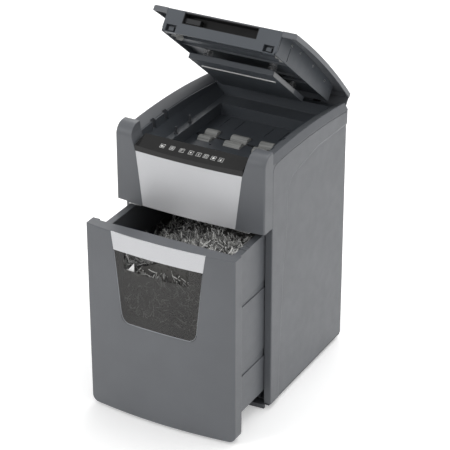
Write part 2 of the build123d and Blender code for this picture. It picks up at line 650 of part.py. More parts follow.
def lid_box():
    """Inner box under the lid: front face with catch sockets, and the two side walls."""
    front = prism_y(outline([(-140, 660), (-140, 603), (-134, BOX_Z), (134, BOX_Z), (140, 603), (140, 660)]),
                    FRONT_Y + 1, FRONT_Y + 4) & under_arch(LID_TOP - 1)
    for x in (-119.5, 119.5):
        front += block(x - 13.7, x + 13.7, FRONT_Y + 2, FRONT_Y + 14, BOX_Z, 614.5)
        front -= block(x - 12.5, x + 12.5, FRONT_Y, FRONT_Y + 12.5, BOX_Z + 1.5, 613)
        front += block(x - 6, x + 6, FRONT_Y + 5, FRONT_Y + 13, 600, 609)
    front -= block(*CHUTE_X, FRONT_Y, FRONT_Y + 5, 619.5, 670)
    side = block(137, 140, FRONT_Y + 3, BOX_REAR, BOX_Z, 660)
    side -= block(130, 150, FRONT_Y + 5, FRONT_Y + 7.5, 603, 640) + block(130, 150, -119, -116, 600, 631)
    for y, z in SIDE_SCREWS:
        side -= rod_x(1.6, 130, 150, y, z)
    back = block(-138, 138, BOX_REAR - SKIN, BOX_REAR, BOX_Z, 660)
    deck = block(-138, 138, -105, BOX_REAR - 1, DECK_Z, DECK_Z + SKIN)
    deck += block(-138, 138, -105, -102, DECK_Z, 660)
    for y in (-75, 10, 50):
        deck += block(-138, 138, y - 1, y + 1, DECK_Z - 5, DECK_Z + 1)
    return front + ((side + side.mirror(Plane.YZ) + back + deck) & under_arch(LID_TOP - SKIN))


DECK_Z = 606.0
CHUTE_X = (-97.0, 85.0)
SIDE_SCREWS = [(-117.5, 637), (-66, 638.5), (18, 636), (100, 628.5)]


def lid_chute():
    """Dark lined mouth for single sheets fed by hand, in the front of the lid."""
    x0, x1 = CHUTE_X
    chute = block(x0, x1, FRONT_Y + 1.4, FRONT_Y + 26, 619.5, 645)
    chute -= block(x0 + 1.5, x1 - 1.5, FRONT_Y, FRONT_Y + 24, 621, 643.5)
    return chute + block(x0 + 1, x0 + 40, FRONT_Y + 9, FRONT_Y + 25, 623.5, 636)


def lid_screws():
    screws = []
    for y, z in SIDE_SCREWS:
        head = rod_x(3.2, 140, 141.4, y, z) + rod_x(1.6, 132, 140, y, z)
        screws += [head, head.mirror(Plane.YZ)]
    return group(screws)


def lid_hinge_arms():
    """Lid half of the hinge: arms behind the cabinet, with the turning barrels."""
    arm = block(91, 109, REAR_Y + 1, REAR_Y + 4, HINGE_Z, arch_height(REAR_Y) + LID_UNDER + 2)
    arm += rod_x(4.5, 90, 110, HINGE_Y, HINGE_Z) - block(80, 120, 160, REAR_Y + 0.7, 570, 600)
    return both(arm - rod_x(2.05, 80, 120, HINGE_Y, HINGE_Z))


def lid_posts():
    """Guide posts for the press plate, each with a shoulder that stops it."""
    posts = []
    for y in (PRESS_Y0 + 40, PRESS_Y1 - 30):
        post = rod_z(3, PRESS_Z + 15.6, DECK_Z, 80, y) + rod_z(8, DECK_Z - 2, DECK_Z, 80, y)
        posts.append(post + rod_z(5.8, PRESS_Z + 15.6, PRESS_Z + 17.6, 80, y))
    return group(posts + [p.mirror(Plane.YZ) for p in posts])


def press_springs():
    """Springs on the guide posts, drawn as plain sleeves of the coil's size."""
    sleeves = []
    for y in (PRESS_Y0 + 40, PRESS_Y1 - 30):
        coil = rod_z(10.4, PRESS_Z + 3, DECK_Z, 80, y) - rod_z(9, PRESS_Z + 2, DECK_Z + 1, 80, y)
        sleeves += [coil, coil.mirror(Plane.YZ)]
    return group(sleeves)


def press_plate():
    """Plate that presses the sheets on the feed rollers: shallow pan with turned-up edges."""
    half, y0, y1, z = PRESS_HALF_W, PRESS_Y0, PRESS_Y1, PRESS_Z
    plate = block(-half, half, y0, y1, z, z + 12)
    plate -= block(-half + 2.5, half - 2.5, y0 + 2.5, y1 - 2.5, z + 3, z + 13)
    for y in (y0 + 40, y1 - 30):
        for x in (-80, 80):
            plate += rod_z(8.4, z + 2, z + 20, x, y)
            plate -= rod_z(6.3, z + 3, z + 18, x, y) + rod_z(3.2, z + 17, z + 21, x, y)
    plate -= block(-92, 92, -41, -35, z - 1, z + 0.8)
    for y in (-60, 10, 60):
        plate += block(-half + 2.5, -92, y - 1, y + 1, z + 3, z + 9)
        plate += block(92, half - 2.5, y - 1, y + 1, z + 3, z + 9)
    return plate


def press_strip():
    return block(-92, 92, -41, -35, PRESS_Z - 1.2, PRESS_Z + 0.8)


def press_edges():
    """Pale sliding strips on the plate's side edges."""
    edge = block(PRESS_HALF_W, PRESS_HALF_W + 1.2, PRESS_Y0 + 4, PRESS_Y1 - 60, PRESS_Z + 1, PRESS_Z + 11)
    return both(edge)


# ---------------------------------------------------------------- drawer (drawn shut, then slid out)
def drawer_outline(inset):
    half, z0, z1 = HALF_W - inset, DRAWER_Z0 + inset, DRAWER_Z1 - inset
    return outline([(-half, z1), (-half, z0), (half, z0), (half, z1)], 16 - inset, [1, 2])


def window_face(grow):
    """Tapered opening of the window, rounded at its lower corners."""
    line = [(WINDOW[0][0] + grow, BAND_Z)] + [(x + grow, z) for x, z in WINDOW[1:2]]
    low = WINDOW[2][1] - grow
    line += [(WINDOW[2][0] + grow, low)]
    points = symmetric(line)
    return outline(points, 20 + grow, [2, 3])


def band_face(grow):
    return outline(symmetric([(117 + grow, DRAWER_Z1 + 0.0), (111 + grow, BAND_Z)]))


def drawer_front():
    """Bowed front with hollow side posts, the lip over its top and a tapered opening."""
    body = prism_y(drawer_outline(0), -260, DRAWER_BACK) & drawer_bow()
    rim = body.faces().sort_by(Axis.Y)[0].outer_wire().edges()
    body = fillet(rim, 2.2)
    body -= block(-167, 167, -260, -100, 9, 457.5) & drawer_bow(SKIN)
    core = block(167 + SKIN, HALF_W - SKIN, -260, DRAWER_BACK - SKIN, 26, 457.5) & drawer_bow(SKIN)
    body = body - core - core.mirror(Plane.YZ)
    body -= block(-167, 167, DRAWER_LIP, -180, 450, 470) + block(-167, 167, -206, -180, 0, 10)
    opening = prism_y(window_face(0.0), -280, -200) + prism_y(band_face(0.0), -280, -200)
    body -= (opening & drawer_bow(-2)) - drawer_bow(SKIN)
    for x in (-140, 140):
        for z in (70, 220, 400):
            y = drawer_skin_y(x)
            body += rod_y(6, y + 1, TUB_Y0, x, z) - rod_y(1.8, y + 4, 0, x, z)
    return body


def drawer_skin_y(x):
    return DRAWER_FRONT + x * x * DRAWER_BOW / HALF_W ** 2


def silver_band():
    return (prism_y(band_face(-0.2), -280, -200) & drawer_bow(0.3)) - drawer_bow(SKIN) - block(
        -130, 130, -280, -100, 400, BAND_Z + 0.2)


def bin_window():
    """Smoked window with the hand hole in its upper part."""
    pane = (prism_y(window_face(-0.2), -280, -200) & drawer_bow(1.2)) - drawer_bow(SKIN)
    hand = outline([(HAND_X0, BAND_Z + 1), (HAND_X0, HAND_Z0), (HAND_X1, HAND_Z0),
                    (HAND_X1, BAND_Z + 1)], 8, [1, 2])
    return pane - prism_y(hand, -280, -200) - block(-130, 130, -280, -100, BAND_Z - 0.2, 440)


def tub_section(inset):
    """Front view of the bin with bevelled lower corners, moved inwards by inset."""
    half, corner = TUB_HALF_W - inset, 46 + inset * 0.4
    foot = half - 14 + inset * 0.4
    return outline(symmetric([(half, TUB_Z1 + 10), (half, corner), (foot, TUB_Z0 + inset)]))


def groove_outline(z):
    """Long pressed groove in the bin's side wall, rising towards the rear; z is its lower edge."""
    return [(-153, z), (-153, z + 11), (-53, z + 20), (60, z + 30), (140, z + 30), (140, z)]


def bin_tub():
    """Open box for the strips, with an inward rim, pressed side grooves and a cut-away front."""
    tub = prism_y(tub_section(0), TUB_Y0, TUB_Y1) & block(-200, 200, -300, 300, 0, TUB_Z1)
    tub = fillet(tub.edges().filter_by(Axis.Z), 8)
    room = prism_y(tub_section(SKIN), TUB_Y0 + SKIN, TUB_Y1 - SKIN)
    tub -= room & block(-200, 200, -300, 300, 0, TUB_Z1 - SKIN)
    tub -= block(-TUB_RIM, TUB_RIM, TUB_Y0 + 10, TUB_Y1 - 10, TUB_Z1 - 5, TUB_Z1 + 5)
    for z in (312, 137):
        cut = prism_x(outline(groove_outline(z)), TUB_HALF_W - 2.2, TUB_HALF_W + 5)
        pad = block(TUB_HALF_W - 5, TUB_HALF_W - SKIN, -156, 143, z - 3, z + 33)
        tub = tub + pad + pad.mirror(Plane.YZ) - cut - cut.mirror(Plane.YZ)
    tub -= block(-100, 100, TUB_Y0 - 1, TUB_Y0 + SKIN + 1, 252, 430)
    tub -= block(TUB_RIM - 1, 170, -158, -134, TUB_Z1 - 1.6, TUB_Z1 + 5)
    tub -= block(TUB_RIM - 1, 170, -128, -118, TUB_Z1 - 1.6, TUB_Z1 + 5)
    for x in (-140, 140):
        for z in (70, 220, 400):
            tub -= rod_y(1.8, TUB_Y0 - 5, TUB_Y0 + 10, x, z)
    return tub


def bin_screws():
    screws = []
    for x in (-140, 140):
        for z in (70, 220, 400):
            shank = rod_y(1.7, TUB_Y0 - 6, TUB_Y0 + SKIN, x, z)
            screws.append(shank + rod_y(4, TUB_Y0 + SKIN, TUB_Y0 + SKIN + 2, x, z))
    return group(screws)


def bin_magnet():
    """Magnet in the left rim that works the bin switch."""
    return block(-160, -150, -176, -160, 437, 440.8)


def shredded_paper():
    """Crust with the outline of the heap of strips: low at the left, heaped towards the right."""
    line = [(-151, 60), (-143, 48), (-120, 40), (120, 40), (143, 48), (151, 60), (151, 422), (138, 431),
            (60, 423), (-20, 399), (-90, 366), (-151, 338)]
    y0, y1 = TUB_Y0 + SKIN + 3, TUB_Y1 - SKIN - 3
    inside = [(143, -50), (143, 416), (136, 422), (62, 414), (-18, 390), (-87, 358), (-143, 332), (-143, -50)]
    return prism_y(outline(line), y0, y1) - prism_y(outline(inside), y0 + 8, y1 - 8)


NODES = {
    "left_side_panel": lambda: side_panel().mirror(Plane.YZ),
    "right_side_panel": side_panel,
    "left_bay_liner": lambda: liner().mirror(Plane.YZ),
    "right_bay_liner": liner,
    "rear_panel": rear_panel,
    "cord_gland": cord_gland,
    "rocker_housing": rocker_housing,
    "power_rocker": power_rocker,
    "base_tray": base_tray,
    "feet": feet,
    "drawer_rails": drawer_rails,
    "top_frame": top_frame,
    "paper_tray": paper_tray,
    "well_pegs": well_pegs,
    "left_pillar": lambda: pillar().mirror(Plane.YZ),
    "right_pillar": pillar,
    "fascia_panel": fascia_panel,
    "control_panel": control_panel,
    "control_board": control_board,
    "head_floor": head_floor,
    "left_cutter_plate": lambda: cutter_plate(-1),
    "right_cutter_plate": lambda: cutter_plate(1),
    "cutter_bushes": cutter_bushes,
    "tie_bars": tie_bars,
    "chassis_screws": chassis_screws,
    "stripper_combs": stripper_combs,
    "power_board": power_board,
    "motor_can": motor_can,
    "motor_rotor": motor_rotor,
    "idler_gear": idler_gear,
    "cutter_rear": cutter_rear,
    "rear_cutter_gears": rear_cutter_gears,
    "cutter_front": cutter_front,
    "front_cutter_gears": front_cutter_gears,
    "rear_feed_shaft": rear_feed_shaft,
    "rear_feed_rollers": lambda: feed_rollers(FEED_YR),
    "front_feed_shaft": front_feed_shaft,
    "front_feed_rollers": lambda: feed_rollers(FEED_YF),
    "latch_brackets": latch_brackets,
    "bin_switch": bin_switch,
    "hinge_brackets": hinge_brackets,
    "hinge_pins": hinge_pins,
}
LID_NODES = {
    "lid_shell": lid_shell,
    "lid_box": lid_box,
    "lid_chute": lid_chute,
    "lid_screws": lid_screws,
    "lid_hinge_arms": lid_hinge_arms,
    "lid_posts": lid_posts,
    "press_springs": press_springs,
    "press_plate": press_plate,
    "press_strip": press_strip,
    "press_edges": press_edges,
}
DRAWER_NODES = {
    "drawer_front": drawer_front,
    "silver_band": silver_band,
    "bin_window": bin_window,
    "bin_tub": bin_tub,
    "bin_screws": bin_screws,
    "bin_magnet": bin_magnet,
    "shredded_paper": shredded_paper,
}

os.makedirs("parts", exist_ok=True)
for name, make in NODES.items():
    export_step(make(), f"parts/{name}.step")
for name, make in LID_NODES.items():
    export_step(at_rest_lid(make()), f"parts/{name}.step")
for name, make in DRAWER_NODES.items():
    export_step(at_rest_drawer(make()), f"parts/{name}.step")
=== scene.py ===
import json
import math
import random

import bpy
from mathutils import Matrix, Vector


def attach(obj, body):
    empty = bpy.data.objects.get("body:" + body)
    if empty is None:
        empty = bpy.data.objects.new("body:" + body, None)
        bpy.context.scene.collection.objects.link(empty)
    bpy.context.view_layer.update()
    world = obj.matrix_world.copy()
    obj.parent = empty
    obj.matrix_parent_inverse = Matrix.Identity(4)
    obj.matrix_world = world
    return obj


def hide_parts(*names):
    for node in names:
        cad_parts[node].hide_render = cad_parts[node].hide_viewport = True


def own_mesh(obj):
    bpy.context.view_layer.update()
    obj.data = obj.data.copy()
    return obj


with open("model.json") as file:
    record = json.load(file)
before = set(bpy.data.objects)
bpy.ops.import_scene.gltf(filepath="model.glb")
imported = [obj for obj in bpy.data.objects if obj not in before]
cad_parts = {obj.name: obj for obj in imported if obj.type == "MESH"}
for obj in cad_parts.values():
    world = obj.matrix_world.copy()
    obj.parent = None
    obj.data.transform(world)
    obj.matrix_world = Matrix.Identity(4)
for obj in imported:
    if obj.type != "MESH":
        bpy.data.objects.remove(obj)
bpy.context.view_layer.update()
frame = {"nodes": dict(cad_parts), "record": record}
nodes = frame["nodes"]
MM = 0.001

LID_OPEN = 39.2             # degrees the lid stands open at rest
HINGE = Vector((0, 186, 586))
DRAWER_FRONT, DRAWER_R = -361.0, 1216.1      # middle of the drawn-out front, and the radius of its bow

PANEL_MID = Vector((0, -207.5, 611.64))      # middle of the sloping touch face
PANEL_RUN, PANEL_RISE = 42, 15.6
KEY_XS = (-71.6, -47.8, -23.4, -1.0, 18.0, 35.8, 54.2, 72.6)
KEY_HALF, KEY_LINE = 5.6, 0.8                # half width of a key's outline, and its line width

POST_SPOTS = ((-80, -50), (-80, 70), (80, -50), (80, 70))
SPRING_FOOT, SPRING_HEIGHT, SPRING_SEAT = 574.0, 31.0, 606

BIN_HALF_W, BIN_FRONT, BIN_BACK, BIN_FLOOR = 150.5, -327, 14, 41
STRIP_HALF_W = 146                           # strips start inside this
BED_DROP = 7                                 # the bed lies this far under the top of the heap


# ---------------------------------------------------------------- materials
class Nodes:
    """Small helper for building a shader tree."""

    def __init__(self, name):
        self.material = bpy.data.materials.new(name)
        self.material.use_nodes = True
        self.tree = self.material.node_tree
        self.shader = self.tree.nodes["Principled BSDF"]
        coords = self.tree.nodes.new("ShaderNodeTexCoord")
        self.coords = coords.outputs["Object"]

    def link(self, a, b):
        self.tree.links.new(a, b)

    def noise(self, scale, detail=3.0, stretch=None, rough=0.5):
        node = self.tree.nodes.new("ShaderNodeTexNoise")
        node.inputs["Scale"].default_value = scale
        node.inputs["Detail"].default_value = detail
        node.inputs["Roughness"].default_value = rough
        source = self.coords
        if stretch:
            mapping = self.tree.nodes.new("ShaderNodeMapping")
            mapping.inputs["Scale"].default_value = stretch
            self.link(self.coords, mapping.inputs["Vector"])
            source = mapping.outputs["Vector"]
        self.link(source, node.inputs["Vector"])
        return node.outputs["Fac"]

    def cells(self, scale):
        node = self.tree.nodes.new("ShaderNodeTexVoronoi")
        node.inputs["Scale"].default_value = scale
        self.link(self.coords, node.inputs["Vector"])
        return node.outputs["Distance"]

    def ramp(self, fac, low, high, start=0.3, end=0.7):
        node = self.tree.nodes.new("ShaderNodeMapRange")
        node.inputs["From Min"].default_value = start
        node.inputs["From Max"].default_value = end
        node.inputs["To Min"].default_value = low
        node.inputs["To Max"].default_value = high
        self.link(fac, node.inputs["Value"])
        return node.outputs["Result"]

    def tint(self, fac, dark, light, start=0.35, end=0.65):
        node = self.tree.nodes.new("ShaderNodeValToRGB")
        node.color_ramp.elements[0].position = start
        node.color_ramp.elements[1].position = end
        node.color_ramp.elements[0].color = (*dark, 1)
        node.color_ramp.elements[1].color = (*light, 1)
        self.link(fac, node.inputs["Fac"])
        return node.outputs["Color"]

    def bump(self, height, strength, distance=0.0002, under=None):
        node = self.tree.nodes.new("ShaderNodeBump")
        node.inputs["Strength"].default_value = strength
        node.inputs["Distance"].default_value = distance
        self.link(height, node.inputs["Height"])
        if under is not None:
            self.link(under, node.inputs["Normal"])
        return node.outputs["Normal"]

    def soft_edges(self, radius):
        node = self.tree.nodes.new("ShaderNodeBevel")
        node.samples = 4
        node.inputs["Radius"].default_value = radius
        return node.outputs["Normal"]

    def outer_side(self, inner, outer, width):
        """0 between the side walls and 1 on the outer sides, by distance from the middle plane."""
        split = self.tree.nodes.new("ShaderNodeSeparateXYZ")
        size = self.tree.nodes.new("ShaderNodeMath")
        size.operation = "ABSOLUTE"
        mix = self.tree.nodes.new("ShaderNodeMix")
        mix.data_type = "RGBA"
        self.link(self.coords, split.inputs["Vector"])
        self.link(split.outputs["X"], size.inputs[0])
        self.link(self.ramp(size.outputs[0], 0, 1, width - 0.0002, width), mix.inputs["Factor"])
        self.link(inner, mix.inputs[6])
        self.link(outer, mix.inputs[7])
        return mix.outputs[2]

    def to(self, output, socket):
        self.link(output, self.shader.inputs[socket])

    def fixed(self, **values):
        for key, value in values.items():
            self.shader.inputs[key.replace("_", " ")].default_value = value


def shade(color, factor):
    return tuple(min(1.0, c * factor) for c in color)


def moulded(name, color, rough=0.45, grain=0.25, specular=0.45):
    """Moulded plastic: fine spark-eroded grain, faint flow mottling and uneven sheen."""
    n = Nodes(name)
    flow = n.noise(9.0, 4.0)
    fine = n.noise(2600.0, 2.0)
    pits = n.cells(1500.0)
    n.to(n.tint(flow, shade(color, 0.955), shade(color, 1.045)), "Base Color")
    n.to(n.ramp(n.noise(40.0, 3.0), rough - 0.035, rough + 0.035), "Roughness")
    n.to(n.bump(fine, grain, 0.00012, n.bump(pits, grain * 0.6, 0.0001, n.soft_edges(0.0013))), "Normal")
    n.fixed(Specular_IOR_Level=specular)
    return n.material


def two_tone_rim(name, inner, outer):
    """Rim moulding: body colour on the outer sides, well colour inside."""
    n = Nodes(name)
    flow = n.noise(9.0, 4.0)
    inside = n.tint(flow, shade(inner, 0.955), shade(inner, 1.045))
    outside = n.tint(flow, shade(outer, 0.955), shade(outer, 1.045))
    n.to(n.outer_side(inside, outside, 0.1496), "Base Color")
    n.to(n.ramp(n.noise(40.0, 3.0), 0.40, 0.47), "Roughness")
    n.to(n.bump(n.noise(2600.0, 2.0), 0.25, 0.00012, n.soft_edges(0.0013)), "Normal")
    n.fixed(Specular_IOR_Level=0.5)
    return n.material


def satin_silver(name):
    """Painted bright plastic with a faint metallic fleck."""
    n = Nodes(name)
    fleck = n.noise(3800.0, 1.0)
    n.to(n.tint(fleck, (0.50, 0.505, 0.52), (0.60, 0.605, 0.62)), "Base Color")
    n.to(n.ramp(n.noise(60.0, 2.0), 0.33, 0.40), "Roughness")
    n.to(n.bump(fleck, 0.08, 0.00006), "Normal")
    n.fixed(Metallic=0.25, Specular_IOR_Level=0.5)
    return n.material


def gloss_black(name):
    """Polished black plastic with a slight waviness."""
    n = Nodes(name)
    wave = n.noise(14.0, 2.0)
    n.to(n.tint(wave, (0.0045, 0.0045, 0.0045), (0.008, 0.008, 0.008)), "Base Color")
    n.to(n.ramp(n.noise(120.0, 4.0), 0.05, 0.11), "Roughness")
    n.to(n.bump(wave, 0.10, 0.0006), "Normal")
    n.fixed(Specular_IOR_Level=0.38)
    return n.material


def smoked(name):
    """Smoked see-through window plastic."""
    n = Nodes(name)
    haze = n.noise(18.0, 3.0)
    n.to(n.tint(haze, (0.030, 0.029, 0.028), (0.040, 0.039, 0.037)), "Base Color")
    n.to(n.ramp(n.noise(90.0, 3.0), 0.12, 0.2), "Roughness")
    n.fixed(Alpha=0.56, IOR=1.49, Specular_IOR_Level=0.5)
    return n.material


def ribbed_rubber(name, color):
    """Feed roller rubber with fine streaks along the axle."""
    n = Nodes(name)
    ribs = n.noise(420.0, 2.0, (0.02, 1, 1))
    n.to(n.tint(ribs, shade(color, 0.62), shade(color, 1.12), 0.40, 0.58), "Base Color")
    n.to(n.ramp(ribs, 0.55, 0.75), "Roughness")
    n.to(n.bump(ribs, 0.5, 0.0004), "Normal")
    return n.material


def rubber(name, color, rough=0.7):
    """Dull rubber with dust in its pores."""
    n = Nodes(name)
    dust = n.noise(300.0, 4.0)
    n.to(n.tint(dust, shade(color, 0.88), shade(color, 1.08)), "Base Color")
    n.to(n.ramp(dust, rough - 0.08, rough + 0.08), "Roughness")
    n.to(n.bump(n.noise(1800.0, 2.0), 0.35, 0.0002), "Normal")
    return n.material


def metal(name, color, rough=0.3, stretch=(1, 1, 1), scale=500.0):
    """Turned or plated metal; stretch sets the direction of its tool marks."""
    n = Nodes(name)
    brushed = n.noise(scale, 4.0, stretch)
    n.to(n.tint(brushed, shade(color, 0.86), color), "Base Color")
    n.to(n.ramp(brushed, rough - 0.08, rough + 0.1), "Roughness")
    n.to(n.bump(brushed, 0.12, 0.00008), "Normal")
    n.fixed(Metallic=1.0)
    return n.material


def circuit(name):
    """Green board lacquer with darker patches between the copper."""
    n = Nodes(name)
    tracks = n.cells(260.0)
    n.to(n.tint(tracks, (0.012, 0.075, 0.03), (0.03, 0.15, 0.06), 0.4, 0.5), "Base Color")
    n.to(n.ramp(tracks, 0.3, 0.5), "Roughness")
    n.to(n.bump(tracks, 0.2, 0.0001), "Normal")
    return n.material


def paper_tone(name, color):
    """Office paper with fibre and faint print."""
    n = Nodes(name)
    fibre = n.noise(700.0, 4.0)
    print_marks = n.noise(240.0, 2.0, (1, 1, 1), 0.7)
    n.to(n.tint(print_marks, shade(color, 0.55), color, 0.36, 0.46), "Base Color")
    n.to(n.ramp(fibre, 0.75, 0.92), "Roughness")
    n.to(n.bump(fibre, 0.25, 0.0001), "Normal")
    n.fixed(Specular_IOR_Level=0.2)
    return n.material


BODY = (0.104, 0.110, 0.120)
WELL = (0.066, 0.074, 0.085)
mats = {
    "body_grey": moulded("body_grey_grain", BODY, 0.42, 0.28, 0.5),
    "well_grey": moulded("well_grey_grain", WELL, 0.45, 0.25),
    "liner_grey": moulded("liner_grey_grain", (0.060, 0.064, 0.072), 0.55, 0.3),
    "silver": satin_silver("silver_fleck"),
    "gloss_black": gloss_black("gloss_black_panel"),
    "smoked_window": smoked("smoked_window_tint"),
    "roller_grey": ribbed_rubber("roller_rubber", (0.36, 0.365, 0.355)),
    "foot_rubber": rubber("foot_rubber_black", (0.016, 0.016, 0.017), 0.8),
    "steel": metal("steel_turned", (0.50, 0.50, 0.51), 0.32, (1, 12, 12)),
    "zinc": metal("zinc_bright", (0.78, 0.78, 0.77), 0.24, (3, 3, 12), 300.0),
    "gear_nylon": moulded("gear_nylon_ivory", (0.62, 0.60, 0.54), 0.4, 0.12),
    "black_plastic": moulded("black_plastic_grain", (0.010, 0.010, 0.0105), 0.55, 0.3, 0.3),
    "board_green": circuit("circuit_board_mask"),
    "motor_paint": metal("motor_can_zinc", (0.33, 0.33, 0.34), 0.38, (1, 6, 6)),
    "white_plastic": moulded("white_plastic_strip", (0.72, 0.72, 0.71), 0.35, 0.1),
    # the paper bed is kept dark: painted shade for the depths of the heap between the strips
    "paper": paper_tone("paper_bed_painted_shade", (0.13, 0.128, 0.122)),
}
edge_grey = moulded("edge_strip_grey", (0.22, 0.225, 0.23), 0.4, 0.1)
sensor_tint = moulded("sensor_window_tint", (0.020, 0.021, 0.023), 0.3, 0.1)
spring_wire = metal("spring_wire_steel", (0.34, 0.34, 0.35), 0.4, (4, 4, 4))
# pale grey for the window lip: a painted highlight where the bevelled edge catches light
lip_painted_highlight = moulded("window_lip_painted_highlight", (0.26, 0.27, 0.29), 0.3, 0.1)
slot_of = {s["node"]: s["material_slot"] for s in frame["record"]["subparts"]}
for name, obj in nodes.items():
    obj.data.materials.clear()
    obj.data.materials.append(mats[slot_of[name]])
nodes["top_frame"].data.materials[0] = two_tone_rim("rim_two_tone", WELL, BODY)
nodes["press_edges"].data.materials[0] = edge_grey


# ---------------------------------------------------------------- placing helpers
def mesh_object(name, verts, faces, material, smooth=False):
    mesh = bpy.data.meshes.new(name)
    mesh.from_pydata([Vector(v) * MM for v in verts], [], faces)
    mesh.validate()
    mesh.update()
    mesh.materials.append(material)
    mesh.polygons.foreach_set("use_smooth", [smooth] * len(mesh.polygons))
    obj = bpy.data.objects.new(name, mesh)
    bpy.context.scene.collection.objects.link(obj)
    return obj


def finish_piece(obj, body):
    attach(obj, body)
    return obj


def opened(point):
    """Point drawn with the lid shut, in mm, moved to the open lid."""
    turn = Matrix.Rotation(math.radians(-LID_OPEN), 3, "X")
    return HINGE + turn @ (Vector(point) - HINGE)


def plates(name, outlines, lift, thick, place, material, body):
    """Flat plates from outlines of (a, b); place(a, b, h) gives the point in mm at height h."""
    verts, faces = [], []
    for line in outlines:
        base, count = len(verts), len(line)
        verts += [place(a, b, lift) for a, b in line] + [place(a, b, lift + thick) for a, b in line]
        faces.append(tuple(base + i for i in reversed(range(count))))
        faces.append(tuple(base + count + i for i in range(count)))
        faces += [(base + i, base + (i + 1) % count, base + count + (i + 1) % count, base + count + i)
                  for i in range(count)]
    return finish_piece(mesh_object(name, verts, faces, material), body)


def rectangle(a0, a1, b0, b1):
    return [(a0, b0), (a1, b0), (a1, b1), (a0, b1)]


def disc(a, b, r, count=20):
    return [(a + r * math.cos(2 * math.pi * i / count), b + r * math.sin(2 * math.pi * i / count))
            for i in range(count)]


# ---------------------------------------------------------------- touch keys
def touch_keys():
    """Eight outlined keys with plain glyphs printed on the sloping face."""
    slope = Vector((0, PANEL_RUN, PANEL_RISE)).normalized()
    normal = Vector((0, -PANEL_RISE, PANEL_RUN)).normalized()

    def on_panel(a, b, h):
        return PANEL_MID + Vector((a, 0, 0)) + slope * b + normal * h

    outlines = []
    glyphs = [
        [rectangle(-3.4, 0.4, -3.0, 2.4), rectangle(1.2, 3.2, -3.0, 0.6)],
        [rectangle(-3.0, 3.0, 1.4, 2.6), rectangle(-3.0, 3.0, -0.7, 0.5), rectangle(-3.0, 3.0, -2.8, -1.6)],
        [rectangle(-2.6, -1.2, -3.0, 3.0), rectangle(-1.2, 2.6, 1.8, 3.0)],
        [[(-2.2, -3.0), (3.0, 0.0), (-2.2, 3.0)]],
        [rectangle(-0.8, 0.8, -3.2, 3.2)],
        [rectangle(a, a + 2.2, b, b + 2.2) for a in (-3.0, 0.8) for b in (-3.0, 0.8)],
        [disc(0, 0, 2.9)],
        [disc(-0.6, -1.0, 2.1), [(0.2, 0.2), (2.6, 3.2), (-1.2, 1.2)]],
    ]
    half, inner = KEY_HALF, KEY_HALF - KEY_LINE
    frame_bars = [rectangle(-half, half, inner, half), rectangle(-half, half, -half, -inner),
                  rectangle(-half, -inner, -inner, inner), rectangle(inner, half, -inner, inner)]
    for x, shapes in zip(KEY_XS, glyphs):
        outlines += [[(x + a, b) for a, b in line] for line in frame_bars + shapes]
    plates("touch_key_print", outlines, 0.06, 0.14, on_panel, mats["white_plastic"],
           "cabinet")


# ---------------------------------------------------------------- lid details
def coil_springs():
    """Wound wire on each guide post of the press plate."""
    turns, steps, wire, radius = 8, 20, 0.65, 9.7
    for index, (x, y) in enumerate(POST_SPOTS):
        rings = []
        for i in range(turns * steps + 1):
            angle = 2 * math.pi * i / steps
            z = SPRING_FOOT + SPRING_HEIGHT * i / (turns * steps)
            radial = Vector((math.cos(angle), math.sin(angle), 0))
            centre = Vector((x, y, z)) + radial * radius
            rings.append([opened(centre + radial * (wire * math.cos(k * math.pi / 3))
                                 + Vector((0, 0, wire * math.sin(k * math.pi / 3)))) for k in range(6)])
        verts = [v for ring in rings for v in ring]
        faces = [(6 * i + k, 6 * i + (k + 1) % 6, 6 * i + 6 + (k + 1) % 6, 6 * i + 6 + k)
                 for i in range(len(rings) - 1) for k in range(6)]
        faces += [tuple(reversed(range(6))), tuple(len(verts) - 6 + k for k in range(6))]
        spring = finish_piece(mesh_object("press_spring_%d" % (index + 1), verts, faces, spring_wire, True),
                              "lid")
        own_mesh(spring)
        if index == 0:
            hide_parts("press_springs")


def lid_details():
    """Sensor window in the hand feed mouth, and the pale gussets in the corners of the lid box."""
    plates("mouth_sensor_window", [rectangle(-95.4, -57.6, 624.2, 635.4)], 0.0, 0.5,
           lambda a, b, h: opened((a, -172.2 - h, b)), sensor_tint, "lid")
    for side in (-1, 1):
        for index, y in enumerate((-160, -136, -112)):
            plates("lid_gusset_%s_%d" % ("left" if side < 0 else "right", index + 1),
                   [[(136.8, 599), (136.8, 622), (131, 622), (117, 604), (121, 599)]], 0.0, 1.6,
                   lambda a, b, h, y=y, side=side: opened((side * a, y + h, b)),
                   mats["roller_grey"], "lid")


# ---------------------------------------------------------------- shredded paper
HEAP = [(-151, 338), (-90, 366), (-20, 399), (60, 423), (138, 431), (151, 422)]


def heap_height(x):
    """Top of the heap of strips at x, in mm."""
    for (x0, z0), (x1, z1) in zip(HEAP, HEAP[1:]):
        if x <= x1:
            return z0 + (z1 - z0) * (x - x0) / (x1 - x0)
    return HEAP[-1][1]


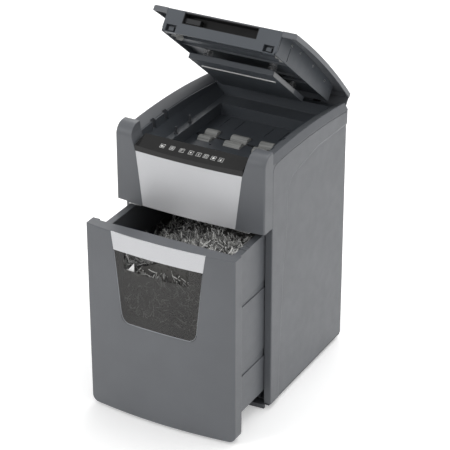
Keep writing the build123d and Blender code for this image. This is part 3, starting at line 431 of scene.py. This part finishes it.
def ribbon(rng, centre, normal, verts, faces):
    """One curled strip of paper lying about a point."""
    normal = Vector(normal)
    normal = (normal + Vector([rng.uniform(-0.55, 0.55) for _ in range(3)])).normalized()
    along = normal.orthogonal().normalized()
    along.rotate(Matrix.Rotation(rng.uniform(0, 2 * math.pi), 3, normal))
    length, width = rng.uniform(14, 38), rng.uniform(1.5, 2.6)
    curl, twist, sway = rng.uniform(-1.6, 2.2), rng.uniform(-1.0, 1.0), rng.uniform(-0.8, 0.8)
    steps, base = 6, len(verts)
    point, heading = Vector(centre) - along * length * 0.4, along.copy()
    for i in range(steps + 1):
        across = heading.cross(normal).normalized()
        lean = Matrix.Rotation(twist * i / steps, 3, heading)
        across = lean @ across
        verts += [point + across * width / 2, point - across * width / 2]
        heading = (Matrix.Rotation(curl / steps, 3, across) @ Matrix.Rotation(sway / steps, 3, normal)
                   @ heading).normalized()
        point = point + heading * length / steps
    faces += [(base + 2 * i, base + 2 * i + 1, base + 2 * i + 3, base + 2 * i + 2) for i in range(steps)]


def kept_inside(points):
    """Whether a strip stays clear of the bin's walls, floor and rim."""
    return all(-147.5 < x < 147.5 and -331.5 < y < BIN_BACK and 42 < z < 443.5 for x, y, z in points)


def grid_faces(start, columns, rows):
    """Quads of a grid whose points run along each row, from the point numbered start."""
    width = columns + 1
    corners = [start + j * width + i for j in range(rows) for i in range(columns)]
    return [(k, k + 1, k + width + 1, k + width) for k in corners]


def shreds():
    """Heap of loose strips in three tones on a rough bed, in place of the plain heap; the bed's dark tone
    is painted shade for the depths between the strips.
    """
    rng = random.Random(4711)
    wide, uphill = STRIP_HALF_W, (-0.3, 0, 0.95)
    tones = {"pale": (paper_tone("strip_pale", (0.74, 0.74, 0.72)), 0.46),
             "grey": (paper_tone("strip_grey", (0.34, 0.34, 0.335)), 0.34),
             "dark": (paper_tone("strip_dark", (0.10, 0.10, 0.10)), 0.20)}
    total = 6200
    for tone, (material, share) in tones.items():
        verts, faces = [], []
        for _ in range(int(total * share)):
            spot = rng.random()
            if spot < 0.55:
                x, y = rng.uniform(-wide, wide), rng.uniform(-329, -205)
                centre, normal = (x, y, heap_height(x) - 4 + rng.uniform(0, 9)), uphill
            elif spot < 0.70:
                x, y = rng.uniform(-wide, wide), rng.uniform(-205, 10)
                centre, normal = (x, y, heap_height(x) - 4 + rng.uniform(0, 8)), uphill
            else:
                x = rng.uniform(-112, 112)
                centre = (x, rng.uniform(-330.5, -327), rng.uniform(236, min(372, heap_height(x))))
                normal = (0, -1, 0)
            strip, quads = [], []
            ribbon(rng, centre, normal, strip, quads)
            if kept_inside(strip):
                faces += [tuple(i + len(verts) for i in quad) for quad in quads]
                verts += strip
        finish_piece(mesh_object("paper_strips_" + tone, verts, faces, material, True), "drawer")

    verts, faces = [], []
    columns, rows = 60, 60
    for j in range(rows + 1):
        for i in range(columns + 1):
            x = -BIN_HALF_W + 2 * BIN_HALF_W * i / columns
            y = BIN_FRONT + (BIN_BACK - BIN_FRONT) * j / rows
            loose = 0 < i < columns and 0 < j < rows
            verts.append((x, y, heap_height(x) - BED_DROP + (rng.uniform(-3, 3) if loose else 0)))
    faces += grid_faces(0, columns, rows)
    start, rows = len(verts), 40
    for j in range(rows + 1):
        for i in range(columns + 1):
            x = -BIN_HALF_W + 2 * BIN_HALF_W * i / columns
            z = BIN_FLOOR + (heap_height(x) - BED_DROP - BIN_FLOOR) * j / rows
            rough = 0 if j in (0, rows) else rng.uniform(-1.5, 1.5)
            verts.append((x, BIN_FRONT + rough, z))
    faces += grid_faces(start, columns, rows)
    # the bed's dark tone is painted shade, seen behind and between the strips
    bed = finish_piece(mesh_object("paper_bed_painted_shade", verts, faces, mats["paper"], True), "drawer")
    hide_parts("shredded_paper")


def painted_window_lip_highlight():
    """Painted highlight: pale strip along the sides and the lower edge of the window recess, standing in
    for light caught on its bevelled lip.
    """
    line = [(110.4, 417.0)] + [(95.2 + 15.2 * i / 4, 265 + 152 * i / 4) for i in (3, 2, 1, 0)]
    line += [(73.0 + 20.6 * math.cos(a), 262.4 - 20.6 * math.sin(a))
             for a in (math.radians(9 * i) for i in range(1, 10))]
    line += [(x, 241.9) for x in (60, 40, 20, 0)]
    line += [(-x, z) for x, z in reversed(line[:-1])]
    verts = []
    for x, z in line:
        inward = Vector((-x, 0, 330 - z)).normalized() * 1.5
        surface = DRAWER_FRONT + DRAWER_R - math.sqrt(DRAWER_R ** 2 - x ** 2)
        verts += [(x, surface + 0.25, z), (x + inward.x, surface + 1.15, z + inward.z)]
    faces = [(2 * i, 2 * i + 1, 2 * i + 3, 2 * i + 2) for i in range(len(line) - 1)]
    finish_piece(mesh_object("painted_window_lip_highlight", verts, faces, lip_painted_highlight, True), "drawer")


def runner_clips():
    """Small pale clips under the head, either side of the drawer."""
    for side, x in (("left", -134), ("right", 134)):
        plates("runner_clip_" + side, [[(x - 9, -222.0), (x + 9, -223.5), (x + 9, -219), (x + 4, -217),
                                        (x - 3, -219), (x - 9, -217.5)]], 461.0, 1.6,
               lambda a, b, h: (a, b, h), mats["white_plastic"], "cabinet")


def drawer_details():
    """Pale triangle in the lower left corner of the hand hole."""
    plates("hand_hole_pale_triangle", [[(-86, 374.5), (-60, 374.5), (-60, 396), (-75, 377.5)]], 0.0, 0.8,
           lambda a, b, h: (a, -353.9 - h, b), mats["white_plastic"], "drawer")


# ---------------------------------------------------------------- floor, light, camera
def stage():
    """Pale floor, a sky a little brighter from the right and rear, and soft lamps."""
    bpy.ops.mesh.primitive_plane_add(size=16, location=(0, 0, -0.0005))
    floor = bpy.context.object
    floor.name = "pale_floor"
    n = Nodes("pale_floor_paint")
    tone = n.tint(n.noise(3.0), (0.90, 0.90, 0.90), (0.92, 0.92, 0.92))
    n.to(tone, "Base Color")
    n.to(tone, "Emission Color")
    n.fixed(Roughness=0.9, Specular_IOR_Level=0.1, Emission_Strength=0.32)
    floor.data.materials.append(n.material)

    world = bpy.data.worlds.new("studio")
    world.use_nodes = True
    tree = world.node_tree
    coords = tree.nodes.new("ShaderNodeTexCoord")
    facing = tree.nodes.new("ShaderNodeVectorMath")
    facing.operation = "DOT_PRODUCT"
    facing.inputs[1].default_value = Vector((0.80, 0.52, 0.10)).normalized()
    level = tree.nodes.new("ShaderNodeMapRange")
    for socket, value in (("From Min", -1), ("From Max", 1), ("To Min", 0.60), ("To Max", 0.80)):
        level.inputs[socket].default_value = value
    tree.links.new(coords.outputs["Generated"], facing.inputs[0])
    tree.links.new(facing.outputs["Value"], level.inputs["Value"])
    tree.nodes["Background"].inputs["Color"].default_value = (1, 1, 1, 1)
    tree.links.new(level.outputs["Result"], tree.nodes["Background"].inputs["Strength"])
    bpy.context.scene.world = world

    def area(name, spot, target, size, power):
        """Rectangular lamp at spot, aimed at target."""
        light = bpy.data.lights.new(name, "AREA")
        light.energy = power
        light.shape = "RECTANGLE"
        light.size, light.size_y = size
        obj = bpy.data.objects.new(name, light)
        obj.location = spot
        obj.rotation_euler = (Vector(target) - Vector(spot)).to_track_quat("-Z", "Y").to_euler()
        bpy.context.scene.collection.objects.link(obj)

    area("key_right", (3.0, 0.9, 1.9), (0, 0, 0.35), (1.6, 1.8), 2)
    area("top_soft", (0.4, 0.4, 3.0), (0, 0, 0.6), (1.8, 1.8), 30)
    area("front_left", (-1.9, -3.0, 2.4), (0, 0, 0.4), (0.9, 1.6), 27)
    area("rim_rear", (-1.0, 2.8, 2.4), (0, 0, 0.5), (2.0, 1.0), 22)


def camera():
    """Long lens from the front right, looking down."""
    azimuth, elevation = math.radians(28.861), math.radians(28.087)
    back = Vector((math.sin(azimuth) * math.cos(elevation), -math.cos(azimuth) * math.cos(elevation),
                   math.sin(elevation)))
    right = Vector((math.cos(azimuth), math.sin(azimuth), 0))
    up = back.cross(right)
    data = bpy.data.cameras.new("photo_camera")
    data.sensor_width = 36
    data.lens = 160.27
    data.shift_x, data.shift_y = -0.0144, 0.0062
    data.clip_end = 50
    obj = bpy.data.objects.new("photo_camera", data)
    obj.matrix_world = Matrix((
        (right.x, up.x, back.x, 1.9385), (right.y, up.y, back.y, -3.5469),
        (right.z, up.z, back.z, 2.4899), (0, 0, 0, 1)))
    bpy.context.scene.collection.objects.link(obj)
    bpy.context.scene.camera = obj


touch_keys()
coil_springs()
lid_details()
drawer_details()
painted_window_lip_highlight()
runner_clips()
shreds()
stage()
camera()
bpy.context.scene.view_settings.view_transform = "Standard"
